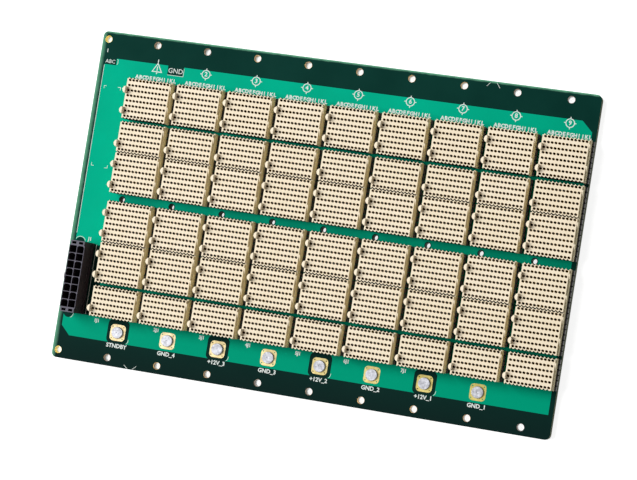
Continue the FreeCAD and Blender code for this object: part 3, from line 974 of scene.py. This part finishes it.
def add_clearance_spots():
    """Round areas without copper at both ends of the header."""
    bm = bmesh.new()
    for spot in HEADER_SPOTS:
        centre = from_corner_bore(*spot)
        outline = circle(centre.x, centre.y, SPOT_RADIUS, 32)
        loft(bm, [(outline, BOARD_FRONT), (outline, BOARD_FRONT + POUR_LIFT + HAIR)])
    add_piece("clearance_spots", as_mesh(bm, "clearance_spots", [LAMINATE]))


def add_bore_plating():
    """Plated walls of the fixing bores."""
    outer = FIXING_BORE / 2 - HAIR
    inner = FIXING_BORE / 2 - 0.05
    rear = BOARD_REAR + PAD_LIFT
    bm = bmesh.new()
    for k in range(SLOTS + 1):
        for side in (-1, 1):
            rings = [ring(bm, circle(LINE_X + k * SLOT_PITCH, side * FIXING_ROW / 2, radius, 32), z)
                     for radius, z in ((outer, rear), (outer, BOARD_FRONT),
                                       (inner, BOARD_FRONT), (inner, rear))]
            for first, second in zip(rings, rings[1:] + rings[:1]):
                band(bm, first, second)
    add_piece("bore_plating", as_mesh(bm, "bore_plating", [BORE_GOLD]))


# ------------------------------------------------------------------ printed legend

class Legend:
    """Printed marks, gathered in one thin mesh. Places are given from the corner bore."""

    def __init__(self):
        self.bm = bmesh.new()
        self.low = BOARD_FRONT + POUR_LIFT
        self.high = BOARD_FRONT + INK_LIFT
        self.lift = 0.0

    def step_down(self):
        """Marks that may cross take turns at slightly different heights."""
        self.lift = (self.lift + 0.003) % 0.012
        return self.lift

    def words(self, text, x, y, height, weight=0.03):
        """Plain capital lettering centred on a point, thickened by a share of its height."""
        capital_share = 0.72
        curve = bpy.data.curves.new("lettering", "FONT")
        curve.body = text
        curve.size = height / capital_share
        curve.align_x = "CENTER"
        curve.align_y = "CENTER"
        curve.resolution_u = 2
        curve.offset = weight * height
        curve.extrude = (self.high - self.low) / 2
        holder = bpy.data.objects.new("lettering", curve)
        bpy.context.scene.collection.objects.link(holder)
        mesh = bpy.data.meshes.new_from_object(holder)
        centre = from_corner_bore(x, y)
        middle = (self.low + self.high) / 2 - self.step_down()
        mesh.transform(Matrix.Translation((centre.x, centre.y, middle)))
        self.bm.from_mesh(mesh)
        bpy.data.objects.remove(holder)
        bpy.data.curves.remove(curve)
        bpy.data.meshes.remove(mesh)

    def stroke(self, points, width):
        """A line of ink, which closes on itself where the first point comes again."""
        path = [from_corner_bore(*point) for point in points]
        closed = (path[0] - path[-1]).length < 1e-6
        if closed:
            path.pop()
        count = len(path)
        sides = ([], [])
        for k, here in enumerate(path):
            before = path[k - 1] if closed or k else here
            after = path[(k + 1) % count] if closed or k < count - 1 else here
            first = (here - before).normalized() if here != before else None
            second = (after - here).normalized() if after != here else first
            first = first or second
            normal = Vector((-first.y - second.y, first.x + second.x)).normalized()
            # A sharp turn doesn't draw the line out into a spike.
            reach = width / 2 / max(normal.dot(Vector((-first.y, first.x))), 0.4)
            for side, sign in zip(sides, (1, -1)):
                side.append(tuple(here + normal * reach * sign))
        top = self.high - self.step_down()
        left_low, left_top = (ring(self.bm, sides[0], z) for z in (self.low, top))
        right_low, right_top = (ring(self.bm, sides[1], z) for z in (self.low, top))
        for k in range(count if closed else count - 1):
            n = (k + 1) % count
            for line, other in ((right_top, left_top), (left_low, right_low),
                                (right_low, right_top), (left_top, left_low)):
                self.bm.faces.new((line[k], line[n], other[n], other[k]))
        if not closed:
            self.bm.faces.new((left_low[0], right_low[0], right_top[0], left_top[0]))
            self.bm.faces.new((right_low[-1], left_low[-1], left_top[-1], right_top[-1]))

    def arc(self, x, y, radius, start, end, width, steps=24):
        """A curved line of ink, between two angles in degrees."""
        angles = [math.radians(start + (end - start) * k / steps) for k in range(steps + 1)]
        self.stroke([(x + radius * math.cos(angle), y + radius * math.sin(angle))
                     for angle in angles], width)

    def finish(self):
        """The gathered marks as one piece."""
        add_piece("printed_legend", as_mesh(self.bm, "printed_legend", [INK]))


def mark_slot(ink, slot):
    """The slot's number, in a triangle for the first slot and in a ring with ticks for the
    others, and the letters over its columns."""
    x = SLOT_PITCH * slot + 0.85
    if slot == 1:
        x += 0.4
        base = (x - 1.9, 112.3)
        ink.stroke([base, (x + 1.9, 112.3), (x, 115.6), base], 0.34)
        ink.stroke([(x, 115.9), (x, 117.1)], 0.34)
        ink.stroke([(x, 112.1), (x, 111.4)], 0.34)
        ink.words(str(slot), x, 113.4, 1.7)
    else:
        y = 113.8
        ink.arc(x, y, 1.6, 0, 360, 0.31)
        for side_x, side_y in ((1, 0), (-1, 0), (0, 1), (0, -1)):
            ink.stroke([(x + 1.75 * side_x, y + 1.75 * side_y),
                        (x + 2.3 * side_x, y + 2.3 * side_y)], 0.31)
        ink.words(str(slot), x, y, 1.7)
    for column in range(CONTACTS):
        ink.words("ABCDEFGHIJKL"[column],
                  13.95 + SLOT_PITCH * (slot - 1) + CONTACT_PITCH * column, 109.4, 1.45,
                  weight=0.055)


def add_legend():
    """Slot numbers, column letters, terminal names and small outlines."""
    fine = 0.16
    ink = Legend()
    for slot in range(1, SLOTS + 1):
        mark_slot(ink, slot)
    for slot, shift in enumerate((0.0, 4.2, 2.3, 0.6, 0.1, -1.2, 0.7)):
        ink.words("%dJ1" % (slot + 1), 13.7 + SLOT_PITCH * slot + shift, 13.5, 1.3, weight=0.07)
    for k in range(TERMINALS):
        x = FIRST_TERMINAL[0] + SLOT_PITCH * k
        ink.words(TERMINAL_NAMES[k], x + 0.3, 4.9, 1.58, weight=0.04)
        if is_supply(k):
            ink.arc(x + 2.75, 7.8, 2.0, -50, 5, fine, 6)
    ink.stroke([(-0.2, 46.0), (-0.2, 112.4)], fine)
    for spot, start, end in zip(HEADER_SPOTS, (20, -60), (150, 60)):
        ink.arc(*spot, SPOT_RADIUS + 0.25, start, end, fine)
    ink.stroke([(8.7, 42.4), (8.7, 15.2)], 0.26)
    for points in (((1.2, 103.2), (1.2, 104.3), (2.2, 104.3)),
                   ((6.9, 104.3), (8.0, 104.3), (8.0, 103.2)),
                   ((1.2, 73.9), (1.2, 72.8), (2.2, 72.8)),
                   ((6.7, 72.5), (7.8, 72.5), (7.8, 73.6)),
                   ((150.6, 123.5), (151.9, 124.9)), ((154.3, 125.1), (155.7, 123.3)),
                   ((27.5, -1.7), (28.9, -2.9)), ((32.5, -1.5), (31.0, -2.9)),
                   ((4.9, 115.1), (5.2, 114.7), (5.2, 113.4), (4.9, 113.0)),
                   ((25.9, 111.7), (32.4, 111.7), (32.4, 114.8))):
        ink.stroke(points, fine)
    ink.words("GND", 29.1, 113.4, 1.95, weight=0.0)
    ink.words("ABC", 2.1, 113.9, 1.5, weight=0.0)
    ink.words("1", 0.3, 118.0, 1.4)
    ink.words("J1", 5.6, 44.2, 1.4)
    ink.finish()


# ------------------------------------------------------------------ floor and light

def white_when_seen(tree):
    """One for rays from the camera, off gloss and through glass, and nought for the others."""
    path = tree.nodes.new("ShaderNodeLightPath")
    seen = path.outputs["Is Camera Ray"]
    for name in ("Is Glossy Ray", "Is Transmission Ray"):
        either = tree.nodes.new("ShaderNodeMath")
        either.operation = "MAXIMUM"
        tree.links.new(seen, either.inputs[0])
        tree.links.new(path.outputs[name], either.inputs[1])
        seen = either.outputs[0]
    return seen


def add_floor():
    """A pale floor that keeps the object's shadow and is white where the camera sees it lit."""
    half_size = 2500
    bm = bmesh.new()
    cap(bm, ring(bm, box_outline(-half_size, -half_size, half_size, half_size),
                 BOARD_REAR - 0.05))
    made = Finish("studio_floor")
    made.set("Base Color", made.mix(made.span(made.noise(3.0)), (0.60, 0.60, 0.60, 1),
                                    (0.62, 0.62, 0.62, 1)))
    made.set("Roughness", 0.9)
    made.set("Specular IOR Level", 0.1)
    made.set("Emission Color", (1, 1, 1, 1))
    made.set("Emission Strength", made.math("MULTIPLY", white_when_seen(made.tree), 0.86))
    floor = bpy.data.objects.new("studio_floor", as_mesh(bm, "studio_floor", [made.material]))
    bpy.context.scene.collection.objects.link(floor)


def add_sky():
    """Weak light from all round, seen as white."""
    world = bpy.data.worlds.new("studio")
    bpy.context.scene.world = world
    world.use_nodes = True
    tree = world.node_tree
    sky = tree.nodes["Background"]
    level = tree.nodes.new("ShaderNodeMapRange")
    level.inputs["To Min"].default_value = 0.11
    level.inputs["To Max"].default_value = 1.0
    tree.links.new(white_when_seen(tree), level.inputs["Value"])
    tree.links.new(level.outputs[0], sky.inputs["Strength"])
    sky.inputs["Color"].default_value = (1, 1, 1, 1)


def add_key_light():
    """A wide soft lamp above the board, to its left."""
    distance = 3.6
    lamp = bpy.data.lights.new("key_light", "AREA")
    lamp.shape = "DISK"
    lamp.size = 3.0
    lamp.energy = 164.0
    key = bpy.data.objects.new("key_light", lamp)
    direction = Vector((-0.58, 0.11, 0.8)).normalized()
    key.location = direction * distance
    key.rotation_euler = direction.to_track_quat("Z", "Y").to_euler()
    bpy.context.scene.collection.objects.link(key)


dress("power_header_pins", TIN)
add_board()
add_press_fits()
add_receptacles()
add_wafers()
add_header()
add_solder_joints()
add_terminals()
add_pour()
add_pads()
add_clearance_spots()
add_bore_plating()
add_legend()
add_floor()
add_sky()
add_key_light()
bpy.context.scene.view_settings.view_transform = "Standard"
